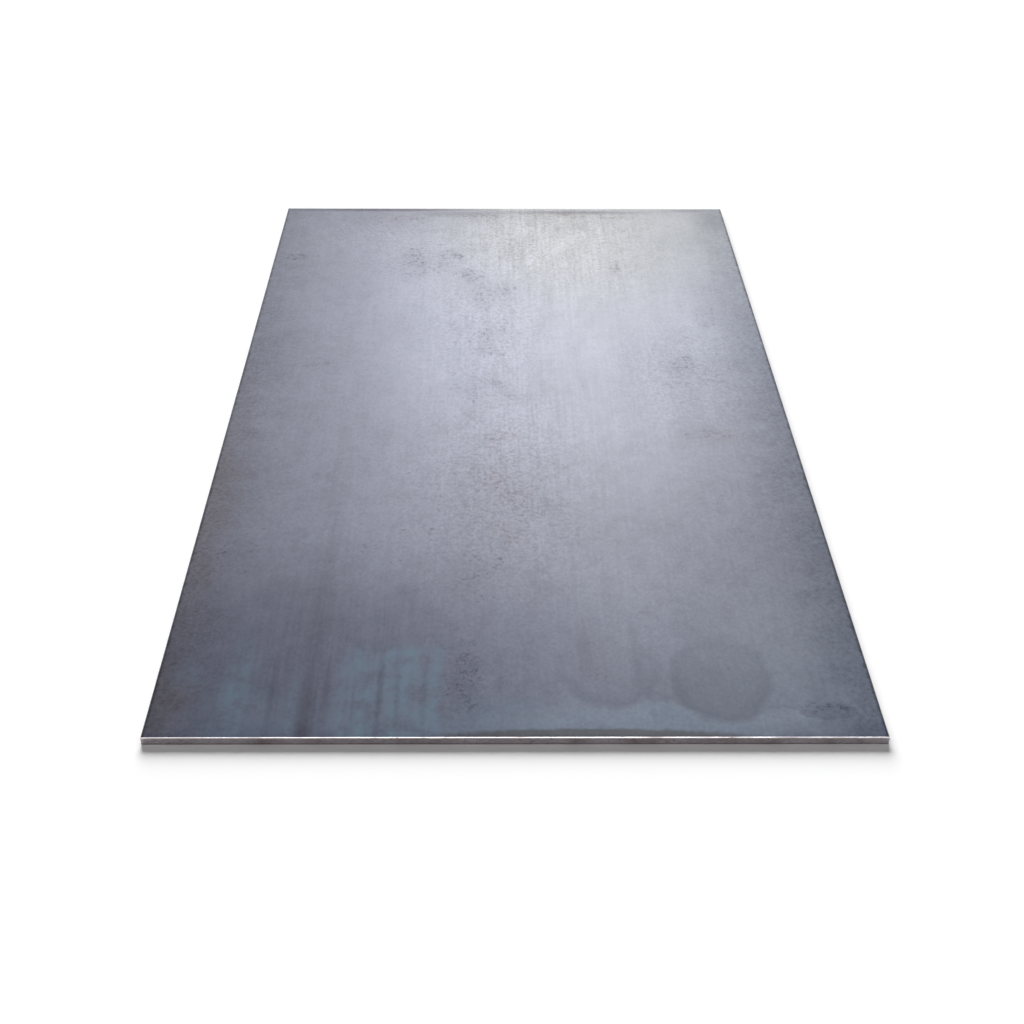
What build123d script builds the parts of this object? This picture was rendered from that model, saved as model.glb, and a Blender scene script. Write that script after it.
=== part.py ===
"""A hot-rolled steel plate, guillotined to size on all four sides.

The plate is one solid. It lies flat, with its underside on Z = 0 and its centre on the Z axis.
Its length runs along Y, which is the rolling direction, and its width along X.

A sheared edge has four zones, from the top face down: the rollover, where the blade drew the face
down before it bit; the land, a narrow bright strip that the blade rubbed flat and square; the
fracture, which tore free and leans in under the land; and the lower arris, with its burr broken off.
"""

from build123d import *
import os

# Plate, in millimetres
plate_length = 2000.0
plate_width = 1000.0
plate_thickness = 12.5

# Sheared edge, in millimetres
rollover_width = 1.6
rollover_depth = 0.8
land_height = 2.1
fracture_recess = 0.5
lower_arris_radius = 0.4

parts_folder = "parts"
node_name = "steel_plate"


def half_outline(span):
    """Half of a section across the plate: from the middle of its underside, round one edge, to the top."""
    edge = span / 2
    rollover_start = edge - rollover_width
    land_top = plate_thickness - rollover_depth
    land_foot = land_top - land_height
    fracture_foot = edge - fracture_recess
    with BuildLine() as outline:
        Polyline((0, 0), (fracture_foot, 0), (edge, land_foot), (edge, land_top))
        TangentArc((rollover_start, plate_thickness), (edge, land_top), tangent=(1, 0))
        Line((rollover_start, plate_thickness), (0, plate_thickness))
    return outline.line


def sheared_section(span):
    """The whole section over one span, with a sheared edge at each end and its lower arrises broken."""
    with BuildSketch() as section:
        with BuildLine():
            add(half_outline(span))
            mirror(about=Plane.YZ)
        make_face()
        underside_corners = section.vertices().group_by(Axis.Y)[0]
        fillet(underside_corners, lower_arris_radius)
    return section.sketch


def steel_plate():
    """The plate, where the bar of the cross section and the bar of the long section meet."""
    across = Plane.XZ * sheared_section(plate_width)
    along = Plane.YZ * sheared_section(plate_length)
    rolled_length = extrude(across, plate_length / 2, both=True)
    sheared_width = extrude(along, plate_width / 2, both=True)
    return rolled_length & sheared_width


def main():
    os.makedirs(parts_folder, exist_ok=True)
    plate = steel_plate()
    export_step(plate, os.path.join(parts_folder, f"{node_name}.step"))
    size = plate.bounding_box().size
    print(f"{node_name}: {size.X:.3f} x {size.Y:.3f} x {size.Z:.3f} mm, {plate.volume / 1e9:.6f} m3")


main()
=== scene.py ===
# %% [markdown]
# # A hot-rolled steel plate, sheared to size
#
# The plate is 1 m by 2 m and 12.5 mm thick. As a solid it could hardly be plainer, so the eye reads
# two things instead: the skin of the face, and the way the edge was cut.
#
# The skin is mill scale, the blue-grey iron oxide that grows on red-hot steel as it cools. The edge
# was cut on a guillotine shear, which first pushes the face down, then rubs a bright strip flat, and
# then tears the rest. This lesson models that edge with mesh operators, and then builds one material
# for each of the finishes in layers.
#
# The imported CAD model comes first. It sets where everything is, in metres: the underside lies on
# Z = 0 and the rolling direction runs along Y.

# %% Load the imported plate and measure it
import math

import bmesh
import bpy
from mathutils import Matrix, Vector, noise


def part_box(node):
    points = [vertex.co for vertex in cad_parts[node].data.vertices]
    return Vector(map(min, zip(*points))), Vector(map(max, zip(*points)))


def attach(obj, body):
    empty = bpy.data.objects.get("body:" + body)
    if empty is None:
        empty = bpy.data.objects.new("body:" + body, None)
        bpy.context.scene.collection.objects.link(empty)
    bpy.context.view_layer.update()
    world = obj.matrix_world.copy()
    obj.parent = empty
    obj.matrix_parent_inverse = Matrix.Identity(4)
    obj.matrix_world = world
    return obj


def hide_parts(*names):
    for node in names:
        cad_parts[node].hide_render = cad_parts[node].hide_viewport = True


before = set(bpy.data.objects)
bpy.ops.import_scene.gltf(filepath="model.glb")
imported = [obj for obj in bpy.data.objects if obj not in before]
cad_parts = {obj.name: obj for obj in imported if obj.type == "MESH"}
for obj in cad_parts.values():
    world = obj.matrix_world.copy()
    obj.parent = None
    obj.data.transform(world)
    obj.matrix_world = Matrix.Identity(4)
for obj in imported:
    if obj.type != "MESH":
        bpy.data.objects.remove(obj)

MM = 0.001
scene = bpy.context.scene
scene.view_settings.view_transform = "Standard"

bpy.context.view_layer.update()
plate_low, plate_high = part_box("steel_plate")
plate_width, plate_length, plate_thickness = Vector(plate_high) - Vector(plate_low)
face_height = plate_high[2]
print("plate, mm:", [round(size / MM, 2) for size in (plate_width, plate_length, plate_thickness)])

# %% [markdown]
# ## The four zones of a sheared edge
#
# Seen from the side, a sheared edge has a rollover where the face was drawn down, a land that the
# blade rubbed flat, a fracture that tore free and leans in, and a small arris at the bottom.
#
# The way to model it is the way a pastry cutter would: start from a closed loop of points round the
# face and extrude that loop down, row by row, to the next inset and height. Each row is named for the
# zone that ends on it, so that the zones can be given their finishes afterwards.

# %% Sizes of the sheared edge
rollover_width = 2.0 * MM
rollover_depth = 1.9 * MM
land_height = 1.1 * MM
fracture_recess = 0.3 * MM
arris_radius = 0.25 * MM
point_spacing = 3.0 * MM

land_foot = plate_thickness - rollover_depth - land_height
print("land from %.1f up to %.1f mm" % (land_foot / MM, (land_foot + land_height) / MM))

# %% Rows of points down the edge, as zone, inset and height
# The rollover is a quarter of an ellipse, level where it leaves the face and upright at the land.
rows = []
rollover_steps = 8
for step in range(rollover_steps + 1):
    turn = math.radians(90) * step / rollover_steps
    inset = rollover_width * (1 - math.sin(turn))
    drop = rollover_depth * (1 - math.cos(turn))
    rows.append(("rollover", inset, plate_thickness - drop))

rows.append(("land", 0.0, (land_foot + rows[-1][2]) / 2))
rows.append(("land", 0.0, land_foot))

fracture_steps = 9
fracture_foot = arris_radius
for step in range(1, fracture_steps + 1):
    part = step / fracture_steps
    height = land_foot + (fracture_foot - land_foot) * part
    rows.append(("fracture", fracture_recess * part, height))

# The arris is rounded by one row between its two ends, 0.3 of the radius in and up from the corner.
rounding = 0.3
rows.append(("arris", fracture_recess + rounding * arris_radius, rounding * arris_radius))
rows.append(("arris", fracture_recess + arris_radius, 0.0))
print(len(rows), "rows from the face to the underside")

# %% [markdown]
# ## The loop round the face
#
# One grid face is scaled to the plate. Deleting the face and keeping its edges leaves a loop, and the
# four edges are then divided into 3 mm steps. The face goes first, because dividing the edges of a
# face also divides the face. Scaling the whole loop by a hair more or less in X and Y insets it by
# the same amount on all four sides, and it keeps the corners mitred, which is how two sheared edges
# meet.

# %% Draw the loop and extrude it down the edge
plate_mesh = bmesh.new()
square = bmesh.ops.create_grid(plate_mesh, x_segments=1, y_segments=1, size=0.5)
bmesh.ops.scale(plate_mesh, vec=(plate_width, plate_length, 1.0), verts=square["verts"])
bmesh.ops.delete(plate_mesh, geom=plate_mesh.faces[:], context="FACES_ONLY")

for axis, span in ((0, plate_width), (1, plate_length)):
    sides = [edge for edge in plate_mesh.edges
             if abs(edge.verts[0].co[axis] - edge.verts[1].co[axis]) > 0.5 * span]
    bmesh.ops.subdivide_edges(plate_mesh, edges=sides, cuts=round(span / point_spacing) - 1)


def move_row(verts, old, new):
    """Insets a closed row of points from one (inset, height) to another."""
    factors = [(span - 2 * new[0]) / (span - 2 * old[0]) for span in (plate_width, plate_length)]
    bmesh.ops.scale(plate_mesh, vec=(*factors, 1.0), verts=verts)
    bmesh.ops.translate(plate_mesh, vec=(0.0, 0.0, new[1] - old[1]), verts=verts)


def extrude_row(edges, old, new):
    """Extrudes a closed row of edges to a new (inset, height). Returns its edges, points and faces."""
    grown = bmesh.ops.extrude_edge_only(plate_mesh, edges=edges)["geom"]
    verts = [part for part in grown if isinstance(part, bmesh.types.BMVert)]
    faces = [part for part in grown if isinstance(part, bmesh.types.BMFace)]
    new_verts = set(verts)
    new_edges = [part for part in grown if isinstance(part, bmesh.types.BMEdge)
                 and new_verts.issuperset(part.verts)]
    move_row(verts, old, new)
    return new_edges, verts, faces


face_edges = plate_mesh.edges[:]
row_points = [plate_mesh.verts[:]]
row_faces = []
here = rows[0][1:]
move_row(row_points[0], (0.0, 0.0), here)
edges = face_edges
for zone, *there in rows[1:]:
    edges, verts, faces = extrude_row(edges, here, there)
    row_points.append(verts)
    row_faces.append((zone, faces))
    here = there
underside_edges = edges
print(len(row_points[0]), "points in each row,", len(plate_mesh.faces), "faces down the edge")

# %% [markdown]
# ## Closing the face and the underside
#
# The flat faces need few polygons, but they must meet the fine loop. A coarse grid is laid in the
# middle, and the bridge operator joins its border to the loop, whatever the number of points on each
# side. A narrow strip just inside the loop keeps the bridge away from the rollover, so the shading of
# the curve doesn't spread over the flat.

# %% Lay a sheet in the middle and bridge it to the loop
strip_width = 6.0 * MM
sheet_margin = 60.0 * MM
sheet_square = 50.0 * MM


def close_with_sheet(loop_edges, inset, height):
    """Closes a row of edges with a strip, a bridge and a coarse sheet, all at one height."""
    strip = extrude_row(loop_edges, (inset, height), (inset + strip_width, height))[0]
    spans = [span - 2 * sheet_margin for span in (plate_width, plate_length)]
    cells = [round(span / sheet_square) for span in spans]
    sheet = bmesh.ops.create_grid(plate_mesh, x_segments=cells[0], y_segments=cells[1], size=0.5)
    bmesh.ops.scale(plate_mesh, vec=(*spans, 1.0), verts=sheet["verts"])
    bmesh.ops.translate(plate_mesh, vec=(0.0, 0.0, height), verts=sheet["verts"])
    inside = set(sheet["verts"])
    border = [edge for edge in plate_mesh.edges if edge.is_boundary and edge.verts[0] in inside]
    bmesh.ops.bridge_loops(plate_mesh, edges=strip + border)


close_with_sheet(face_edges, rows[0][1], rows[0][2])
close_with_sheet(underside_edges, rows[-1][1], rows[-1][2])
print("open edges left:", sum(not edge.is_manifold for edge in plate_mesh.edges))

# %% [markdown]
# ## Relief of the sheared edge
#
# A blade doesn't cut evenly. The land is deeper in one place and shallower in the next, because the
# crack starts early or late, and the torn metal under it is rough. Blender's noise functions give
# the same value for the same place on every run, so they suit such moves: the foot of the land goes
# up and down by half a millimetre, and the torn rows go in by up to a third of one. Nothing is moved
# outwards, so the plate keeps its size.

# %% Roughen the torn rows and let the foot of the land waver
land_waver = 0.5 * MM
tear_depth = 0.34 * MM
long_wave = 45 * MM
short_wave = 9 * MM
tear_height = 2.5 * MM
edge_reach = 2 * MM


def waver(place, wave):
    """Smooth noise from -1 to 1 along the edge, for waves of about this length."""
    return noise.noise(Vector((place.x / wave, place.y / wave, 7.3)))


def push_in(point, depth):
    """Moves a point of the edge inwards, square to its side. A corner point moves on both sides."""
    for axis, span in ((0, plate_width), (1, plate_length)):
        if span / 2 - abs(point.co[axis]) < edge_reach:
            point.co[axis] -= math.copysign(depth, point.co[axis])


for (zone, inset, height), points in zip(rows, row_points):
    for point in points:
        if zone == "land" and height == land_foot:
            slow, quick = waver(point.co, long_wave), waver(point.co, short_wave)
            point.co.z += land_waver * (0.6 * slow + 0.4 * quick)
        elif zone == "fracture":
            x, y, z = point.co
            torn = Vector((x / short_wave, y / short_wave, z / tear_height))
            lift = 0.5 + 0.5 * noise.fractal(torn, 0.8, 2.0, 3)
            push_in(point, tear_depth * min(max(lift, 0.0), 1.0))
print("rows moved:", 1 + sum(zone == "fracture" for zone, *_ in rows))

# %% [markdown]
# ## One object with three finishes
#
# The mesh is closed, so its faces can all be turned outwards. The zones take three material slots:
# mill scale on the faces and over the first half of the rollover, bright steel down to the foot of
# the land, and torn steel below. Edges are left sharp at the plate's corners and where the land stops.

# %% Give the faces their slots and make the object
MILL_SCALE, BRIGHT_STEEL, TORN_STEEL = range(3)
slot_of_zone = {"rollover": BRIGHT_STEEL, "land": BRIGHT_STEEL,
                "fracture": TORN_STEEL, "arris": TORN_STEEL}
corner_reach = 3 * MM

for zone, faces in row_faces:
    for face in faces:
        face.material_index = slot_of_zone[zone]
scaled_rows = rollover_steps // 2
for zone, faces in row_faces[:scaled_rows]:
    for face in faces:
        face.material_index = MILL_SCALE

bmesh.ops.recalc_face_normals(plate_mesh, faces=plate_mesh.faces[:])
for face in plate_mesh.faces:
    face.smooth = True
for edge in plate_mesh.edges:
    corner = all(abs(abs(point.co.x) - plate_width / 2) < corner_reach and
                 abs(abs(point.co.y) - plate_length / 2) < corner_reach for point in edge.verts)
    finishes = {face.material_index for face in edge.link_faces}
    edge.smooth = not (corner or finishes == {BRIGHT_STEEL, TORN_STEEL})

plate_data = bpy.data.meshes.new("sheared_plate")
plate_volume = plate_mesh.calc_volume()
plate_mesh.to_mesh(plate_data)
plate_mesh.free()
plate = bpy.data.objects.new("sheared_plate", plate_data)
scene.collection.objects.link(plate)
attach(plate, "root")
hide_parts("steel_plate")
print("plate volume, litres: %.3f" % (plate_volume * 1000), "faces:", len(plate_data.polygons))

# %% [markdown]
# ## Colours and nodes
#
# Colours are written the way a colour picker shows them, as sRGB hex, and Blender's sockets want
# linear light, so one function turns one into the other. A second function adds a node, sets its
# options, and fills or links its inputs. A material is then a list of such calls, read from the top.

# %% Helpers for colours and nodes
def linear(code):
    """An sRGB hex colour as a linear RGBA value for a socket."""
    channels = [int(code[start:start + 2], 16) / 255 for start in (0, 2, 4)]
    return (*[c / 12.92 if c <= 0.04045 else ((c + 0.055) / 1.055) ** 2.4 for c in channels], 1.0)


def add(tree, kind, inputs=None, **options):
    """Adds a node with its options. Each input is a value, or a socket to link from."""
    node = tree.nodes.new("ShaderNode" + kind)
    for name, value in options.items():
        setattr(node, name, value)
    for name, value in (inputs or {}).items():
        if isinstance(value, bpy.types.NodeSocket):
            tree.links.new(value, node.inputs[name])
        else:
            node.inputs[name].default_value = value
    return node


def new_material(name):
    """An empty material on nodes, with its tree and its output."""
    material = bpy.data.materials.new(name)
    material.use_nodes = True
    material.node_tree.nodes.clear()
    return material, material.node_tree, add(material.node_tree, "OutputMaterial")


print("mid grey in linear light:", [round(c, 3) for c in linear("808080")])

# %% [markdown]
# ## Mill scale: where the pattern is measured
#
# All patterns of the plate read Object coordinates. The piece's object sits at the origin, so these
# are metres on the plate: X across the width, Y along the rolling direction. A noise texture has
# about one light and one dark patch in every two cells, and a cell is 1 / scale metres wide, so
# each scale below is written as one over a real size.
#
# The marks on real scale have no ruled outlines. A soft noise, added to the coordinates, pushes a
# mark about, and a fine one roughens its edge. Three strengths are enough: rippled coordinates keep a
# straight mark straight to within 2 mm, barely drifted ones move its outline by up to 8 mm or so
# either way, and drifted ones by up to 20 mm or so.

# %% Coordinates: straight, rippled and drifted
mill_scale, tree, mill_output = new_material("hot_rolled_mill_scale")
place = add(tree, "TexCoord").outputs["Object"]


def pushed(tree, vector, cell, reach):
    """Coordinates pushed about by a noise of this cell, by up to about a quarter of the reach."""
    push = add(tree, "TexNoise", {"Vector": vector, "Scale": 1 / cell, "Detail": 1.0,
                                  "Roughness": 0.6})
    centred = add(tree, "VectorMath", {0: push.outputs["Color"], 1: (0.5, 0.5, 0.5)},
                  operation="SUBTRACT")
    return add(tree, "VectorMath", {0: centred.outputs[0], 1: (reach, reach, 0.0), 2: vector},
               operation="MULTIPLY_ADD").outputs[0]


rippled = pushed(tree, place, 14 * MM, 7 * MM)
barely_drifted = pushed(tree, rippled, 50 * MM, 34 * MM)
drifted = pushed(tree, rippled, 75 * MM, 80 * MM)
print("nodes for the coordinates:", len(tree.nodes))

# %% [markdown]
# ## Mill scale: the ground colour
#
# Mill scale is a dark iron oxide a few hundredths of a millimetre thick. It shines much as a metal
# does, so light comes off it tinted, and its thinnest parts show the faint blue and violet of temper
# colours. The steel at a rolled plate's long edges cooled first, so the scale is darker there. A
# colour ramp read across the width gives that, and a second one along the length turns the near end
# bluer, where the plate has stood in the damp. Both read the drifted coordinates, or they would look
# like painted stripes.

# %% Ground colour, from edge to edge and from end to end
MIX_FACTOR, MIX_A, MIX_B, MIX_COLOUR = 0, 6, 7, 2
drifted_parts = add(tree, "SeparateXYZ", {0: drifted})

scale_across = ((0.00, "a2a5b5"), (0.06, "a5a8b9"), (0.18, "a7aabb"), (0.36, "abaebd"),
                (0.60, "acaeba"), (0.80, "a8abb8"), (0.93, "a4a8b6"), (1.00, "a1a6b5"))
scale_along = ((0.00, "e6ecf4"), (0.09, "e5e9f1"), (0.20, "eeeff2"), (0.40, "fafafb"),
               (0.62, "ffffff"), (1.00, "ffffff"))
ramps = []
for axis, span, stops in (("X", plate_width, scale_across), ("Y", plate_length, scale_along)):
    share = add(tree, "MapRange", {"Value": drifted_parts.outputs[axis],
                                   "From Min": -span / 2, "From Max": span / 2})
    ramp = add(tree, "ValToRGB", {"Fac": share.outputs["Result"]})
    ramp.color_ramp.interpolation = "B_SPLINE"
    for position, code in stops[1:-1]:
        ramp.color_ramp.elements.new(position)
    for element, (position, code) in zip(ramp.color_ramp.elements, stops):
        element.position = position
        element.color = linear(code)
    ramps.append(ramp.outputs["Color"])

colour = add(tree, "Mix", {MIX_FACTOR: 1.0, MIX_A: ramps[0], MIX_B: ramps[1]},
             data_type="RGBA", blend_type="MULTIPLY").outputs[MIX_COLOUR]
print("stops across and along:", len(scale_across), len(scale_along))

# %% [markdown]
# ## Soft patches
#
# Most marks on the scale are a soft blot somewhere on the plate. A spherical gradient is 1 at its
# centre and 0 one unit away, so a Mapping node in Texture mode, which puts the centre and the radii
# of an ellipse into it, makes one such blot out of three nodes. A list of blots is joined into one
# mask by keeping the strongest, and the plate can have as many marks as the real one.

# %% A mask for one mark, and for many
def soft_patch(tree, vector, centre, radii, strength, rim=1.0):
    """A mask for one mark: its strength in an ellipse, fading over the rim, a share of the radius."""
    local = add(tree, "Mapping", {"Vector": vector, "Location": (*centre, 0.0),
                                  "Scale": (*radii, 1.0)}, vector_type="TEXTURE")
    depth = add(tree, "TexGradient", {"Vector": local.outputs[0]}, gradient_type="SPHERICAL")
    return add(tree, "MapRange", {"Value": depth.outputs["Fac"], "From Max": rim,
                                  "To Max": strength},
               interpolation_type="SMOOTHSTEP").outputs["Result"]


def patches(tree, vector, marks, rim=1.0):
    """One mask for many marks, the strongest where they overlap."""
    mask = soft_patch(tree, vector, *marks[0], rim)
    for mark in marks[1:]:
        patch = soft_patch(tree, vector, *mark, rim)
        mask = add(tree, "Math", {0: mask, 1: patch}, operation="MAXIMUM").outputs[0]
    return mask


def strength_between(tree, value, low, high, fade):
    """A mask that is 1 where a value lies between two limits, and fades out beyond them."""
    rise = add(tree, "MapRange", {"Value": value, "From Min": low - fade, "From Max": low})
    fall = add(tree, "MapRange", {"Value": value, "From Min": high + fade, "From Max": high})
    return add(tree, "Math", {0: rise.outputs["Result"], 1: fall.outputs["Result"]},
               operation="MULTIPLY").outputs[0]


# %% [markdown]
# ## Mill scale: grain and rolling streaks
#
# Close up, scale is a fine grain of specks a few millimetres long, on a mottle of some tens of
# millimetres, on cloudiness of some hundreds. One noise for each size, all multiplied together, looks
# richer than one noise with much detail, because each gets its own strength. The grain is strongest
# down the middle and at the far end, where the scale has been rubbed open, and shows again beside the
# long edges, so a mask scales it.
#
# The rolls and the descaling sprays leave streaks. They are the same noise with its coordinates
# squeezed along Y, so that each patch is drawn out in the rolling direction.

# %% Where the grain is open
# Each mark is a centre and two radii in metres, and a strength.
open_grain = (((0.08, 0.80), (0.42, 0.50), 1.0), ((-0.04, 0.35), (0.22, 0.50), 0.8),
              ((-0.02, -0.25), (0.24, 0.66), 0.7), ((0.33, 0.12), (0.22, 0.34), 0.7),
              ((-0.25, 0.85), (0.34, 0.32), 0.6), ((-0.07, -0.86), (0.10, 0.20), 0.5))
band_start, band_end = 0.38, 0.515
side_grain_share = 0.4

grain_area = patches(tree, drifted, open_grain)
side_distance = add(tree, "Math", {0: drifted_parts.outputs["X"]}, operation="ABSOLUTE").outputs[0]
side_band = add(tree, "MapRange", {"Value": side_distance, "From Min": band_start,
                                   "From Max": band_end},
                interpolation_type="SMOOTHSTEP").outputs["Result"]
side_grain = add(tree, "Math", {0: side_band, 1: side_grain_share}, operation="MULTIPLY").outputs[0]
grain_area = add(tree, "Math", {0: grain_area, 1: side_grain}, operation="MAXIMUM").outputs[0]

streaked = (((0.10, 0.78), (0.30, 0.50), 1.0), ((0.05, 0.0), (0.30, 0.9), 0.4),
            ((-0.25, -0.85), (0.25, 0.45), 0.5))
streak_area = patches(tree, place, streaked)
print(len(open_grain), "patches of open grain,", len(streaked), "of streaks")

# %% Grain, mottle, blots, clouds and streaks
# Each layer has its noise cell across and along in metres, the detail and roughness of the noise, how
# far the brightness may swing, and the least and most of that swing that its area lets it show.
texture_layers = {
    "grain": ((0.0047, 0.0078), (2.0, 0.70), 0.92, (0.42, 1.0), grain_area),
    "mottle": ((0.024, 0.032), (3.0, 0.76), 0.66, (0.72, 1.0), grain_area),
    "clouds": ((0.17, 0.24), (2.0, 0.60), 0.24, (0.90, 1.4), streak_area),
    "blots": ((0.050, 0.065), (2.0, 0.60), 0.30, (0.12, 1.1), streak_area),
    "wide_streaks": ((0.026, 0.55), (2.0, 0.70), 0.17, (0.55, 1.4), streak_area),
    "thin_streaks": ((0.0065, 0.20), (1.0, 0.60), 0.46, (0.25, 1.3), streak_area),
}
layer_noise = {}
texture = None
for name, (cell, (detail, rough), swing, (least, most), area) in texture_layers.items():
    squeeze = (1 / cell[0], 1 / cell[1], 1 / cell[0])
    stretched = add(tree, "Mapping", {"Vector": place, "Scale": squeeze}, label=name)
    layer = add(tree, "TexNoise", {"Vector": stretched.outputs[0], "Scale": 1.0,
                                   "Detail": detail, "Roughness": rough})
    layer_noise[name] = layer.outputs["Fac"]
    centred = add(tree, "Math", {0: layer.outputs["Fac"], 1: 0.5}, operation="SUBTRACT")
    share = add(tree, "MapRange", {"Value": area, "To Min": least * swing, "To Max": most * swing})
    factor = add(tree, "Math", {0: centred.outputs[0], 1: share.outputs["Result"], 2: 1.0},
                 operation="MULTIPLY_ADD")
    if texture is None:
        texture = factor.outputs[0]
    else:
        texture = add(tree, "Math", {0: texture, 1: factor.outputs[0]}, operation="MULTIPLY").outputs[0]
colour = add(tree, "Mix", {MIX_FACTOR: 1.0, MIX_A: colour, MIX_B: texture},
             data_type="RGBA", blend_type="MULTIPLY").outputs[MIX_COLOUR]
for name, (cell, *_) in texture_layers.items():
    print(name, "cell, mm:", [round(size / MM, 1) for size in cell])

# %% [markdown]
# ## Mill scale: specks and clouds of them
#
# In places the scale has lifted in specks, and the steel under it has begun to darken or to rust. The
# specks are one noise, kept only where it is high. Where they may show is a mask of soft patches,
# torn at its edges by the mottle: the noise is added to the mask before its limits are set, which
# leaves islands outside it and holes inside it.

# %% Specks, and the clouds on the plate
dark_clouds = (((-0.19, 0.66), (0.17, 0.20), 0.65), ((-0.10, 0.70), (0.022, 0.05), 1.3),
               ((-0.08, 0.60), (0.05, 0.10), 0.6), ((-0.44, -0.50), (0.11, 0.24), 0.45),
               ((-0.03, 0.50), (0.10, 0.16), 0.5),
               ((0.04, 0.72), (0.08, 0.18), 0.5), ((0.22, 0.66), (0.05, 0.18), 0.6),
               ((-0.04, 0.28), (0.10, 0.18), 0.4), ((0.34, 0.16), (0.15, 0.12), 0.38),
               ((-0.34, 0.17), (0.10, 0.06), 0.45), ((-0.04, 0.07), (0.12, 0.12), 0.5),
               ((0.13, 0.12), (0.05, 0.20), 0.3), ((-0.06, -0.58), (0.09, 0.14), 0.6),
               ((-0.44, 0.69), (0.05, 0.035), 1.1), ((-0.07, -0.87), (0.06, 0.13), 0.8),
               ((-0.20, -0.50), (0.14, 0.10), 0.3), ((0.41, 0.35), (0.09, 0.36), 0.4),
               ((-0.05, 0.95), (0.13, 0.06), 0.6), ((0.43, -0.942), (0.050, 0.026), 0.9))
brown_clouds = (((-0.03, -0.14), (0.11, 0.05), 0.7), ((-0.02, -0.36), (0.17, 0.36), 0.55),
                ((0.36, -0.14), (0.12, 0.06), 0.6), ((-0.19, -0.35), (0.10, 0.05), 0.55),
                ((-0.22, 0.93), (0.10, 0.03), 0.6), ((0.12, 0.955), (0.12, 0.022), 1.0),
                ((0.27, 0.950), (0.09, 0.022), 0.8), ((0.12, -0.83), (0.05, 0.12), 0.55),
                ((-0.42, -0.35), (0.10, 0.25), 0.3))
speck_cell = 7.5 * MM
tearing = 2.3

speck_noise = add(tree, "TexNoise", {"Vector": place, "Scale": 1 / speck_cell, "Detail": 2.0,
                                     "Roughness": 0.7})
specks = add(tree, "MapRange", {"Value": speck_noise.outputs["Fac"],
                                "From Min": 0.49, "From Max": 0.66}).outputs["Result"]
torn_mask = add(tree, "Math", {0: layer_noise["mottle"], 1: 0.5}, operation="SUBTRACT").outputs[0]
cloud_amounts = []
for marks in (dark_clouds, brown_clouds):
    mask = patches(tree, drifted, marks)
    ragged = add(tree, "Math", {0: torn_mask, 1: tearing, 2: mask}, operation="MULTIPLY_ADD")
    held = add(tree, "MapRange", {"Value": ragged.outputs[0], "From Min": 0.18, "From Max": 0.88},
               interpolation_type="SMOOTHSTEP")
    broken = add(tree, "MapRange", {"Value": specks, "To Min": 0.25, "To Max": 1.1})
    cloud_amounts.append(add(tree, "Math", {0: held.outputs["Result"], 1: broken.outputs["Result"]},
                             operation="MULTIPLY").outputs[0])
dark_amount, brown_amount = cloud_amounts
print(len(dark_clouds) + len(brown_clouds), "clouds")

# %% The darker band beside the long edges, and the specks that lie outside the clouds
band_along = add(tree, "MapRange", {"Value": drifted_parts.outputs["Y"], "From Min": -0.5,
                                    "From Max": 0.6, "To Min": 1.0,
                                    "To Max": 0.5}).outputs["Result"]
band_broken = add(tree, "MapRange", {"Value": specks, "To Min": 0.65}).outputs["Result"]
band_amount = add(tree, "Math", {0: band_along, 1: band_broken}, operation="MULTIPLY").outputs[0]
band_amount = add(tree, "Math", {0: band_amount, 1: side_band}, operation="MULTIPLY").outputs[0]
loose_specks = add(tree, "Math", {0: specks, 1: grain_area}, operation="MULTIPLY").outputs[0]
print("the band fades from", band_end, "to", band_start, "m off the middle")

# %% [markdown]
# ## Mill scale: lines beside the cut
#
# The last few millimetres beside the long cuts are darker. At the far end a thin dark line runs beside
# the cut, and the near end has a dull band with a flat arch of old water mark in it.

# %% Dark lines and the near band
straight_parts = add(tree, "SeparateXYZ", {0: rippled})
x_here, y_here = straight_parts.outputs["X"], straight_parts.outputs["Y"]
half_width, half_length = plate_width / 2, plate_length / 2
from_middle = add(tree, "Math", {0: x_here}, operation="ABSOLUTE").outputs[0]
edge_line = add(tree, "MapRange", {"Value": from_middle, "From Min": half_width - 6 * MM,
                                   "From Max": half_width - 2 * MM}).outputs["Result"]
line_marks = (((-0.28, 0.990), (0.36, 0.013), 1.0), ((0.16, 0.975), (0.28, 0.020), 0.75),
              ((0.42, 0.985), (0.10, 0.014), 0.5), ((-0.10, 0.965), (0.14, 0.03), 0.45),
              ((0.47, 0.92), (0.06, 0.12), 0.3))
lines = add(tree, "Math", {0: edge_line, 1: patches(tree, rippled, line_marks)},
            operation="MAXIMUM").outputs[0]
near_arch = soft_patch(tree, rippled, (0.10, -1.0), (0.24, 0.022), 1.0, rim=0.35)
near_band = add(tree, "MapRange", {"Value": drifted_parts.outputs["Y"],
                                   "From Min": 45 * MM - half_length,
                                   "From Max": 10 * MM - half_length},
                interpolation_type="SMOOTHSTEP").outputs["Result"]
print(len(line_marks), "dark lines beside the cut")

# %% Bright patches at the far end: bare spots by the cut, and painted highlight in the sheen
# The two thin marks by the far cut are bare spots. The three broad ones are painted highlight, the
# largest where the back panel's sheen is brightest.
bare_and_highlight_marks = (((0.02, 0.995), (0.06, 0.014), 1.0), ((0.40, 1.0), (0.10, 0.008), 0.4),
                ((0.12, 0.74), (0.20, 0.26), 0.75), ((-0.42, 0.82), (0.16, 0.36), 0.5),
                ((0.40, 0.90), (0.12, 0.12), 0.5))
bare_spots_and_highlight = patches(tree, rippled, bare_and_highlight_marks)
print(len(bare_and_highlight_marks), "bright patches")

# %% [markdown]
# ## Mill scale: water marks at the near end
#
# The near end has stood in the wet. On the right, drops dried from the top down. Each left a dull
# disc, darkest just inside its lower rim, and between and below them the scale kept its blue. So a
# drop needs two masks from one gradient: where it is, and how dark it is there. Its three strengths
# are those of the rim and of the middle, and the share of both that is left at its top.

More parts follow.
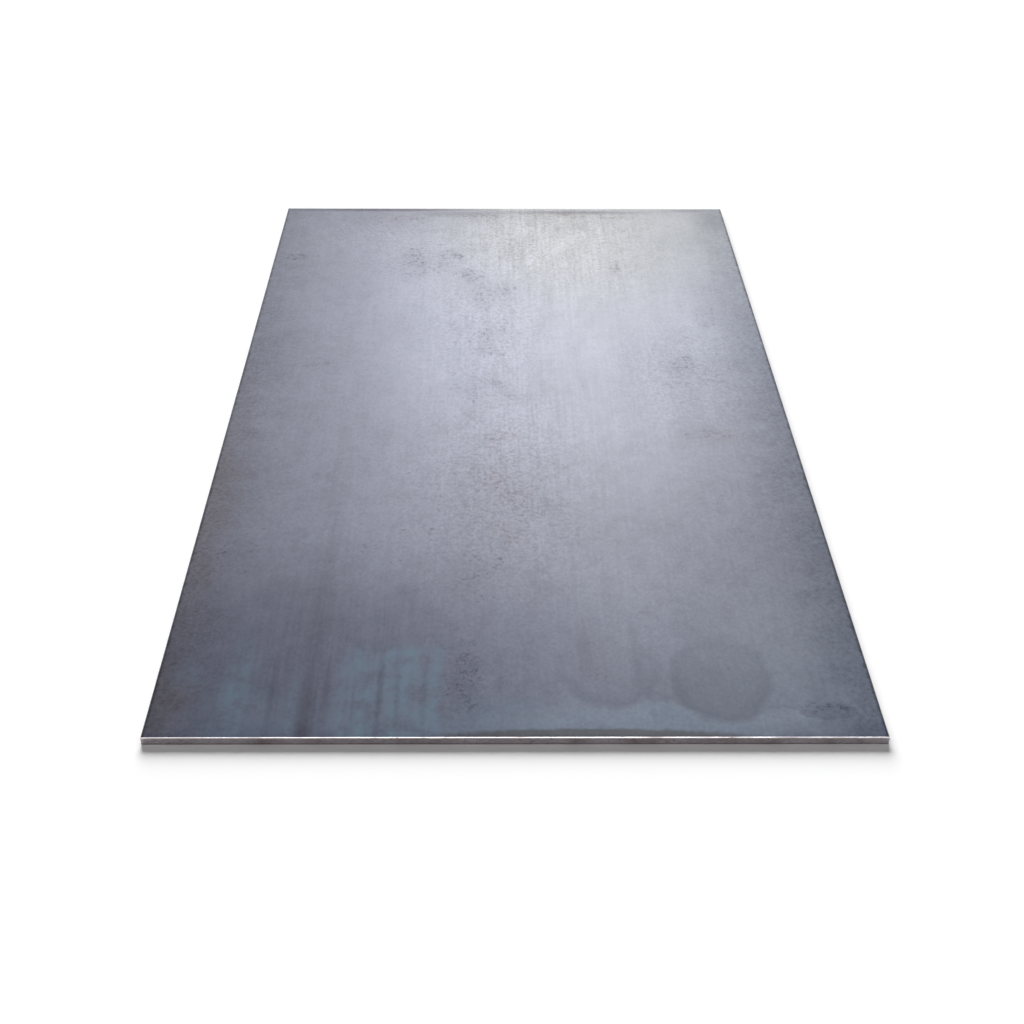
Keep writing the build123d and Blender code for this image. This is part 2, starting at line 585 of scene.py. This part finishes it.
# %% Drops
drop_marks = (((0.29, -0.866), (0.078, 0.110), (1.05, 0.64, 0.30)),
              ((0.135, -0.840), (0.080, 0.098), (0.65, 0.15, 0.0)),
              ((0.215, -0.868), (0.056, 0.056), (0.60, 0.20, 0.0)),
              ((0.37, -0.89), (0.065, 0.052), (0.40, 0.10, 0.0)),
              ((0.428, -0.944), (0.044, 0.026), (0.75, 0.70, 0.2)))
drop_inside, drop_shade = None, None
for centre, radii, (rim_strength, middle_strength, top_share) in drop_marks:
    local = add(tree, "Mapping", {"Vector": barely_drifted, "Location": (*centre, 0.0),
                                  "Scale": (*radii, 1.0)}, vector_type="TEXTURE").outputs[0]
    depth = add(tree, "TexGradient", {"Vector": local}, gradient_type="SPHERICAL").outputs["Fac"]
    inside = add(tree, "MapRange", {"Value": depth, "From Max": 0.15}).outputs["Result"]
    hollow = add(tree, "MapRange", {"Value": depth, "From Min": 0.10, "From Max": 0.42,
                                    "To Min": rim_strength, "To Max": middle_strength},
                 interpolation_type="SMOOTHSTEP").outputs["Result"]
    up_the_drop = add(tree, "SeparateXYZ", {0: local}).outputs["Y"]
    low_part = add(tree, "MapRange", {"Value": up_the_drop, "From Min": -0.5, "From Max": 0.85,
                                      "To Min": 1.0, "To Max": top_share}).outputs["Result"]
    shade = add(tree, "Math", {0: hollow, 1: low_part}, operation="MULTIPLY").outputs[0]
    shade = add(tree, "Math", {0: shade, 1: inside}, operation="MULTIPLY").outputs[0]
    if drop_shade is None:
        drop_inside, drop_shade = inside, shade
    else:
        drop_inside = add(tree, "Math", {0: drop_inside, 1: inside}, operation="MAXIMUM").outputs[0]
        drop_shade = add(tree, "Math", {0: drop_shade, 1: shade}, operation="MAXIMUM").outputs[0]
drop_texture = add(tree, "MapRange", {"Value": layer_noise["mottle"], "From Min": 0.3,
                                      "From Max": 0.7, "To Min": 0.65,
                                      "To Max": 1.25}).outputs["Result"]
drop_shade = add(tree, "Math", {0: drop_shade, 1: drop_texture}, operation="MULTIPLY",
                 use_clamp=True).outputs[0]
print(len(drop_marks), "drops")

# %% The blue strip outside the drops, which covers most of the dull band by the cut
blue_marks = (((0.16, -0.98), (0.28, 0.075), 1.0), ((0.36, -0.96), (0.12, 0.06), 0.3),
              ((-0.04, -0.96), (0.12, 0.06), 0.6))
outside = add(tree, "Math", {0: 1.0, 1: drop_inside}, operation="SUBTRACT").outputs[0]
blue_strip = patches(tree, drifted, blue_marks, rim=0.6)
blue_strip = add(tree, "Math", {0: blue_strip, 1: outside}, operation="MULTIPLY").outputs[0]
uncovered = add(tree, "Math", {0: blue_strip, 1: -0.75, 2: 1.0}, operation="MULTIPLY_ADD").outputs[0]
near_band = add(tree, "Math", {0: near_band, 1: uncovered}, operation="MULTIPLY").outputs[0]
print(len(blue_marks), "blue patches")

# %% [markdown]
# On the left, water ran down in straight tracks along the rolling direction. It left a teal bloom
# with a clean top edge, cut by dark bars, a lighter column beside it, and one brown run that reaches
# far up the plate. These are straight, so they read the rippled coordinates, which keep a line
# straight and only roughen it.

# %% Teal bloom, with its columns and bars
block_left, block_right, block_top = -0.236, -0.112, -0.800
past_the_edge = -1.1
block = add(tree, "Math", {0: strength_between(tree, x_here, block_left, block_right, 18 * MM),
                           1: strength_between(tree, y_here, past_the_edge, block_top, 22 * MM)},
            operation="MULTIPLY").outputs[0]
column_marks = (((-0.385, -0.90), (0.034, 0.19), 1.0), ((-0.306, -0.95), (0.012, 0.13), 0.7),
                ((-0.35, -0.96), (0.14, 0.10), 0.45), ((-0.17, -0.97), (0.18, 0.07), 0.45),
                ((-0.455, -0.86), (0.04, 0.06), 0.4), ((-0.02, -0.95), (0.08, 0.06), 0.4))
columns = patches(tree, rippled, column_marks, rim=0.8)
teal = add(tree, "Math", {0: block, 1: columns}, operation="MAXIMUM").outputs[0]

bar_cell = (20 * MM, 220 * MM)
smear_cell = (38 * MM, 34 * MM)
bar_place = add(tree, "Mapping", {"Vector": rippled,
                                  "Scale": (1 / bar_cell[0], 1 / bar_cell[1], 1.0)})
bar_noise = add(tree, "TexNoise", {"Vector": bar_place.outputs[0], "Scale": 1.0, "Detail": 2.0,
                                   "Roughness": 0.65})
bars = add(tree, "MapRange", {"Value": bar_noise.outputs["Fac"], "From Min": 0.34, "From Max": 0.58,
                              "To Min": 0.25}).outputs["Result"]
teal = add(tree, "Math", {0: teal, 1: bars}, operation="MULTIPLY").outputs[0]
smear_place = add(tree, "Mapping", {"Vector": rippled,
                                    "Scale": (1 / smear_cell[0], 1 / smear_cell[1], 1.0)})
smears = add(tree, "TexNoise", {"Vector": smear_place.outputs[0], "Scale": 1.0, "Detail": 2.0,
                                "Roughness": 0.7})
torn_teal = add(tree, "Math", {0: layer_noise["mottle"], 1: smears.outputs["Fac"]},
                operation="ADD").outputs[0]
teal_texture = add(tree, "MapRange", {"Value": torn_teal, "From Min": 0.78, "From Max": 1.12,
                                      "To Min": 0.22, "To Max": 0.92},
                   interpolation_type="SMOOTHSTEP").outputs["Result"]
teal = add(tree, "Math", {0: teal, 1: teal_texture}, operation="MULTIPLY").outputs[0]
print(len(column_marks), "teal columns, bars in cells of", round(bar_cell[0] / MM), "mm")

# %% The brown run, the dark bars and the light lines
run_marks = (((-0.285, -0.98), (0.020, 0.20), 0.8), ((-0.283, -0.62), (0.022, 0.44), 0.22),
             ((-0.335, -0.92), (0.012, 0.12), 0.4), ((-0.262, -0.90), (0.010, 0.12), 0.5),
             ((-0.1875, -0.90), (0.009, 0.13), 0.55), ((-0.1625, -0.92), (0.006, 0.10), 0.35),
             ((-0.125, -0.90), (0.009, 0.12), 0.35), ((-0.222, -0.93), (0.006, 0.10), 0.3),
             ((0.10, -0.80), (0.020, 0.14), 0.28), ((0.175, -0.82), (0.016, 0.12), 0.25),
             ((-0.295, -0.30), (0.014, 0.34), 0.12))
runs = patches(tree, rippled, run_marks)
# Five of these light lines lie in the back panel's sheen at the far end and paint its streaks: partly
# painted highlight.
light_and_sheen_marks = (((-0.275, 0.32), (0.008, 0.42), 0.35), ((0.105, 0.29), (0.016, 0.40), 0.6),
               ((0.06, 0.86), (0.030, 0.24), 0.6), ((0.125, 0.84), (0.020, 0.22), 0.8),
               ((-0.02, 0.90), (0.014, 0.16), 0.6), ((0.03, 0.62), (0.010, 0.20), 0.5),
               ((0.20, 0.80), (0.012, 0.20), 0.4))
light_and_sheen_lines = patches(tree, rippled, light_and_sheen_marks)
print(len(run_marks), "dark runs and bars,", len(light_and_sheen_marks), "light lines")

# %% [markdown]
# ## Mill scale: all marks over the ground colour
#
# The broad changes come first: a darker corner at the near left, a faint brown along the left
# side, and a warmer tint over the far end, where the back panel's sheen is brightest: that tint is
# painted sheen. Then the marks are laid over them one after another. Multiply keeps the texture
# that is already there and suits stains, Add suits a bare or bright spot or a painted highlight,
# and Mix suits a bloom that covers what is under it.

# %% Broad patches
far_shade = soft_patch(tree, drifted, (-0.24, 1.02), (0.28, 0.26), 1.0, rim=0.8)
# Darker towards the near left corner.
darker_near_left = soft_patch(tree, drifted, (-0.28, -0.88), (0.56, 0.44), 1.0, rim=0.75)
brown_marks = (((-0.51, -0.45), (0.09, 0.80), 0.9), ((-0.51, -0.90), (0.10, 0.18), 1.4))
brown_side = patches(tree, drifted, brown_marks, rim=0.9)
pale_marks = (((0.39, -0.79), (0.16, 0.24), 1.0), ((0.38, -0.965), (0.15, 0.050), 0.8),
              ((0.02, -0.965), (0.09, 0.05), 0.5), ((0.13, -0.78), (0.13, 0.15), 0.4),
              ((0.46, -0.90), (0.07, 0.12), 0.5))
pale_side = patches(tree, rippled, pale_marks)
# Painted sheen: a warmer tint over the far end, where the back panel's sheen falls.
painted_sheen_tint = soft_patch(tree, drifted, (0.22, 1.0), (0.66, 0.80), 1.0, rim=0.8)
print(len(brown_marks), "brown and", len(pale_marks), "pale patches")

# %% The stack of layers
colour_layers = ((far_shade, "eaeaeb", "MULTIPLY"), (darker_near_left, "d3d2d5", "MULTIPLY"),
                 (brown_side, "fff3ea", "MULTIPLY"), (painted_sheen_tint, "fffdf1", "MULTIPLY"),
                 (pale_side, "3f4144", "ADD"), (loose_specks, "e3e3e4", "MULTIPLY"),
                 (dark_amount, "d3d3d6", "MULTIPLY"), (brown_amount, "eadfd8", "MULTIPLY"),
                 (band_amount, "d6d8db", "MULTIPLY"), (lines, "b0aeb2", "MULTIPLY"),
                 (near_band, "e9ebee", "MULTIPLY"), (near_arch, "cdbfb2", "MULTIPLY"),
                 (blue_strip, "002a32", "ADD"), (drop_shade, "e0e1e0", "MULTIPLY"),
                 (teal, "7f94a8", "MIX"), (runs, "cbc2c4", "MULTIPLY"),
                 (light_and_sheen_lines, "16161a", "ADD"), (bare_spots_and_highlight, "40403e", "ADD"))
for amount, code, blend in colour_layers:
    colour = add(tree, "Mix", {MIX_FACTOR: amount, MIX_A: colour, MIX_B: linear(code)},
                 data_type="RGBA", blend_type=blend).outputs[MIX_COLOUR]
print(len(colour_layers), "colour layers")

# %% [markdown]
# ## Mill scale: gloss and relief
#
# Clean scale has a dull sheen, like worn slate. Specks, stains and the edge bands are rougher, so the
# light dies on them, and that is part of what makes them look dark at a low angle. The relief is only
# a few hundredths of a millimetre: the grain and the mottle, and specks where the scale has lifted.

# %% Roughness, bump and the shader
dulled = dark_amount
for amount in (brown_amount, band_amount, drop_shade):
    dulled = add(tree, "Math", {0: dulled, 1: amount}, operation="MAXIMUM").outputs[0]
roughness = add(tree, "MapRange", {"Value": dulled, "To Min": 0.30, "To Max": 0.38}).outputs["Result"]
for name in ("wide_streaks", "mottle"):
    roughness = add(tree, "Math", {0: layer_noise[name], 1: 0.10, 2: roughness},
                    operation="MULTIPLY_ADD").outputs[0]

grain_height = add(tree, "Math", {0: layer_noise["grain"], 1: 0.6, 2: layer_noise["mottle"]},
                   operation="MULTIPLY_ADD").outputs[0]
lifted = add(tree, "Math", {0: grain_height, 1: specks}, operation="SUBTRACT").outputs[0]
relief = add(tree, "Bump", {"Height": lifted, "Strength": 0.35, "Distance": 0.03 * MM})
scale_shader = add(tree, "BsdfPrincipled", {"Base Color": colour, "Metallic": 0.85,
                                            "Roughness": roughness, "Normal": relief.outputs[0]})
tree.links.new(scale_shader.outputs[0], mill_output.inputs["Surface"])
print("mill scale nodes:", len(tree.nodes))

# %% [markdown]
# ## Burnished steel: the land
#
# The blade rubs the top of the cut smooth before the crack starts. Cut steel is a clean metal, so it is
# all reflection: metallic 1, a pale warm grey, and a roughness from 0.26. The blade's own nicks draw
# fine upright lines down it, and here and there it has picked up scale or a first bloom of rust.
#
# Along the front of the plate only X changes and along the sides only Y, so noise with the same short
# cell in both, and a long one in Z, draws upright lines on all four sides.

# %% Bright land with drag lines
bright_steel, tree, bright_output = new_material("burnished_shear_land")
place = add(tree, "TexCoord").outputs["Object"]
drag_cell = (1.6 * MM, 1.6 * MM, 40 * MM)
dull_cell, rust_cell = 55 * MM, 16 * MM
drag_place = add(tree, "Mapping", {"Vector": place, "Scale": tuple(1 / size for size in drag_cell)})
drag = add(tree, "TexNoise", {"Vector": drag_place.outputs[0], "Scale": 1.0, "Detail": 3.0,
                              "Roughness": 0.6}).outputs["Fac"]
dull_noise = add(tree, "TexNoise", {"Vector": place, "Scale": 1 / dull_cell, "Detail": 4.0,
                                    "Roughness": 0.7}).outputs["Fac"]
dull = add(tree, "MapRange", {"Value": dull_noise, "From Min": 0.46, "From Max": 0.66}).outputs["Result"]
rust_noise = add(tree, "TexNoise", {"Vector": place, "Scale": 1 / rust_cell, "Detail": 4.0,
                                    "Roughness": 0.7}).outputs["Fac"]
rust = add(tree, "MapRange", {"Value": rust_noise, "From Min": 0.58, "From Max": 0.74}).outputs["Result"]

steel_colour = linear("e4e0e0")
for amount, code in ((drag, "efeeee"), (dull, "cfc8c9"), (rust, "b3937f")):
    steel_colour = add(tree, "Mix", {MIX_FACTOR: amount, MIX_A: steel_colour, MIX_B: linear(code)},
                       data_type="RGBA", blend_type="MULTIPLY").outputs[MIX_COLOUR]
land_rough = add(tree, "MapRange", {"Value": dull, "To Min": 0.26, "To Max": 0.44}).outputs["Result"]
land_rough = add(tree, "Math", {0: rust, 1: 0.25, 2: land_rough}, operation="MULTIPLY_ADD").outputs[0]
drag_relief = add(tree, "Bump", {"Height": drag, "Strength": 0.12, "Distance": 0.02 * MM})
land_shader = add(tree, "BsdfPrincipled", {"Base Color": steel_colour, "Metallic": 1.0,
                                           "Roughness": land_rough,
                                           "Normal": drag_relief.outputs[0]})
tree.links.new(land_shader.outputs[0], bright_output.inputs["Surface"])
print("drag lines, cell in mm: %.1f" % (drag_cell[0] / MM))

# %% [markdown]
# ## Torn steel: the fracture
#
# Below the land the metal broke. A fracture is grey and crystalline, duller than a cut, and it holds
# dirt and rust, so it is a mix of three: bare torn steel, a dark oxide in the hollows, and brown rust
# in flecks. The tears run along the edge, so the noise is squeezed in Z: its patches come out long
# and low, the way a broken edge is layered. The metal at the very foot is painted darker, as painted
# shade where the edge meets the floor.

# %% Torn fracture with oxide and rust
torn_steel, tree, torn_output = new_material("torn_shear_fracture")
place = add(tree, "TexCoord").outputs["Object"]
tear_cell = (9 * MM, 9 * MM, 1.1 * MM)
crystal_size = 0.7 * MM
stretch_cell = 45 * MM
# Heights between which the foot of the fracture is painted darker: painted shade by the floor.
shade_top, shade_full = 2.4 * MM, 0.6 * MM
tear_place = add(tree, "Mapping", {"Vector": place, "Scale": tuple(1 / size for size in tear_cell)})
tears = add(tree, "TexNoise", {"Vector": tear_place.outputs[0], "Scale": 1.0, "Detail": 5.0,
                               "Roughness": 0.7}).outputs["Fac"]
crystal = add(tree, "TexVoronoi", {"Vector": place, "Scale": 1 / crystal_size}).outputs["Distance"]
stretch_noise = add(tree, "TexNoise", {"Vector": place, "Scale": 1 / stretch_cell, "Detail": 4.0,
                                       "Roughness": 0.7}).outputs["Fac"]
oxide = add(tree, "MapRange", {"Value": tears, "From Min": 0.48, "From Max": 0.30}).outputs["Result"]
pale = add(tree, "MapRange", {"Value": tears, "From Min": 0.54, "From Max": 0.74}).outputs["Result"]
rust_share = add(tree, "Math", {0: tears, 1: stretch_noise}, operation="MULTIPLY")
rust = add(tree, "MapRange", {"Value": rust_share.outputs[0], "From Min": 0.27,
                              "From Max": 0.42}).outputs["Result"]
# Painted shade: the fracture darkens towards the floor over its lowest few millimetres.
above_floor = add(tree, "SeparateXYZ", {0: place}).outputs["Z"]
foot = add(tree, "MapRange", {"Value": above_floor, "From Min": shade_top, "From Max": shade_full},
           interpolation_type="SMOOTHSTEP").outputs["Result"]
uneven = add(tree, "MapRange", {"Value": stretch_noise, "From Min": 0.3,
                                "From Max": 0.7}).outputs["Result"]
print("tears, cell in mm:", [round(size / MM, 1) for size in tear_cell])

# %% Colour, relief and shader of the fracture
torn_layers = ((uneven, "e0dfe1", "MULTIPLY"), (oxide, "8c878b", "MULTIPLY"),
               (pale, "c2babb", "MIX"), (rust, "c6a89b", "MULTIPLY"),
               (crystal, "d8d8d8", "MULTIPLY"), (foot, "b9b7b9", "MULTIPLY"))
torn_colour = linear("b8b1b5")
for amount, code, blend in torn_layers:
    torn_colour = add(tree, "Mix", {MIX_FACTOR: amount, MIX_A: torn_colour, MIX_B: linear(code)},
                      data_type="RGBA", blend_type=blend).outputs[MIX_COLOUR]
torn_metal = add(tree, "MapRange", {"Value": rust, "To Min": 0.80, "To Max": 0.15}).outputs["Result"]
torn_rough = add(tree, "MapRange", {"Value": oxide, "To Min": 0.52, "To Max": 0.72}).outputs["Result"]
crystal_height = add(tree, "Math", {0: crystal, 1: 0.4, 2: tears}, operation="MULTIPLY_ADD").outputs[0]
torn_relief = add(tree, "Bump", {"Height": crystal_height, "Strength": 0.6, "Distance": 0.25 * MM})
torn_shader = add(tree, "BsdfPrincipled", {"Base Color": torn_colour, "Metallic": torn_metal,
                                           "Roughness": torn_rough,
                                           "Normal": torn_relief.outputs[0]})
tree.links.new(torn_shader.outputs[0], torn_output.inputs["Surface"])

for material in (mill_scale, bright_steel, torn_steel):
    plate_data.materials.append(material)
print("materials on the plate:", [material.name for material in plate_data.materials])

# %% [markdown]
# ## The floor
#
# One very large white square. It is matt, so nothing is mirrored in it, and its colour is just
# short of white, so that the plate's shadow and the glow round it both show.

# %% White floor
floor_size = 40.0
floor_mesh = bmesh.new()
bmesh.ops.create_grid(floor_mesh, x_segments=1, y_segments=1, size=floor_size / 2)
floor_data = bpy.data.meshes.new("studio_floor")
floor_mesh.to_mesh(floor_data)
floor_mesh.free()
floor = bpy.data.objects.new("studio_floor", floor_data)
scene.collection.objects.link(floor)

floor_paint, tree, output = new_material("white_floor_paint")
paint = add(tree, "BsdfDiffuse", {"Color": linear("fafafa"), "Roughness": 0.0})
tree.links.new(paint.outputs[0], output.inputs["Surface"])
floor_data.materials.append(floor_paint)
print("floor, m:", floor_size)

# %% [markdown]
# ## The air and walls of the studio
#
# The world does two jobs. For matt surfaces it is a plain, even light. For the camera and for gloss it
# is the room: white walls low down, fading to a dimmer ceiling. A plate in its scale, seen at a low
# angle, is mostly a mirror of that room, so the wall near the horizon is what brightens its far end.
# Light Path tells the two jobs apart.

# %% World
ambient_level = 0.23
ceiling_level = 0.27
wall_low, wall_high = 4, 30

world = bpy.data.worlds.new("studio_air")
scene.world = world
world.use_nodes = True
tree = world.node_tree
tree.nodes.clear()
path = add(tree, "LightPath")
seen = path.outputs["Is Camera Ray"]
for ray in ("Is Glossy Ray", "Is Transmission Ray"):
    seen = add(tree, "Math", {0: seen, 1: path.outputs[ray]}, operation="MAXIMUM").outputs[0]
sky = add(tree, "TexCoord").outputs["Generated"]
height = add(tree, "SeparateXYZ", {0: sky}).outputs["Z"]
walls = add(tree, "MapRange", {"Value": height, "From Min": math.sin(math.radians(wall_low)),
                               "From Max": math.sin(math.radians(wall_high)), "To Min": 1.0,
                               "To Max": ceiling_level}, interpolation_type="SMOOTHSTEP")
level = add(tree, "Mix", {0: seen, 2: ambient_level, 3: walls.outputs["Result"]},
            data_type="FLOAT")
air = add(tree, "Background", {"Color": linear("ffffff"), "Strength": level.outputs[0]})
air_output = add(tree, "OutputWorld")
tree.links.new(air.outputs[0], air_output.inputs["Surface"])
print("ambient %.2f, ceiling %.2f of white" % (ambient_level, ceiling_level))

# %% [markdown]
# ## The lamps
#
# The soft shadow in front of the plate says that the main light comes from behind, low and wide. A sun
# lamp with a large angle is such a light at any distance, and it is the same all over a two-metre
# plate. A sun's energy is what falls on a surface square to it, so for a level on the floor it is
# divided by the sine of its elevation.
#
# Two panels show only in gloss. One stands behind the plate and makes the pale sheen that runs down
# it. The other hangs high in front of it and draws the bright line along the rollover.

# %% Key light
def direction_to(azimuth, elevation):
    """A unit vector towards a lamp. Azimuth 0 is +Y and 90 is +X, in degrees."""
    a, e = math.radians(azimuth), math.radians(elevation)
    return Vector((math.sin(a) * math.cos(e), math.cos(a) * math.cos(e), math.sin(e)))


key_azimuth, key_elevation, key_spread = -5.0, 22.0, 34.0
key_level = 0.84
key_data = bpy.data.lights.new("key_panel", "SUN")
key_data.angle = math.radians(key_spread)
key_data.energy = key_level * math.pi / math.sin(math.radians(key_elevation))
key = bpy.data.objects.new("key_panel", key_data)
key.rotation_euler = direction_to(key_azimuth, key_elevation).to_track_quat("Z", "Y").to_euler()
key.visible_glossy = False
scene.collection.objects.link(key)
print("key energy: %.2f" % key_data.energy)

# %% Panels that show in gloss
def soft_panel(name, centre, aim, size, level):
    """A rectangular lamp that only shows in gloss. Its level is its brightness, where 1 is white."""
    data = bpy.data.lights.new(name, "AREA")
    data.shape = "RECTANGLE"
    data.size, data.size_y = size
    data.energy = level * math.pi * size[0] * size[1]
    panel = bpy.data.objects.new(name, data)
    panel.location = centre
    panel.rotation_euler = (Vector(centre) - Vector(aim)).to_track_quat("Z", "Y").to_euler()
    panel.visible_camera = False
    panel.visible_diffuse = False
    scene.collection.objects.link(panel)
    return panel


back_panel = soft_panel("back_panel", (0.31, 4.0, 1.80), (0.1, 0.3, 0.0), (1.55, 0.75), 3.7)
front_panel = soft_panel("front_panel", (0.10, -3.0, 2.2), (0.08, -1.0, 0.0), (1.9, 3.0), 4.1)
print("panels, m:", [round(panel.location.z, 2) for panel in (back_panel, front_panel)], "up")

# %% [markdown]
# ## The camera
#
# A 62 mm lens, three metres from the middle of the plate and looking down by 30 degrees, gives the
# plate the shape it has in the photograph. A photographer holds a camera by its heading, its pitch
# and a hair of roll, so the three are turned here into the camera's own axes: it looks along its -Z,
# with +Y up.

# %% Camera
camera_data = bpy.data.cameras.new("camera")
camera_data.sensor_width = 36.0
camera_data.lens = 61.94
camera_data.shift_x = 0.00703
camera_data.clip_end = 100.0
camera = bpy.data.objects.new("camera", camera_data)

heading, pitch, roll = (math.radians(angle) for angle in (0.590, 30.08, 0.316))
ahead = Vector((math.sin(heading) * math.cos(pitch), math.cos(heading) * math.cos(pitch),
                -math.sin(pitch)))
right = Vector((math.cos(heading), -math.sin(heading), 0.0))
above = right.cross(ahead)
right_rolled = right * math.cos(roll) + above * math.sin(roll)
above_rolled = above * math.cos(roll) - right * math.sin(roll)
turn = Matrix((right_rolled, above_rolled, -ahead)).transposed()
camera_place = Vector((-0.0356, -2.8818, 1.4367 + face_height))
camera.matrix_world = Matrix.Translation(camera_place) @ turn.to_4x4()
scene.collection.objects.link(camera)
scene.camera = camera
to_the_middle = Vector((0.0, 0.0, face_height)) - camera_place
print("camera to the middle of the face, m: %.2f" % to_the_middle.length)
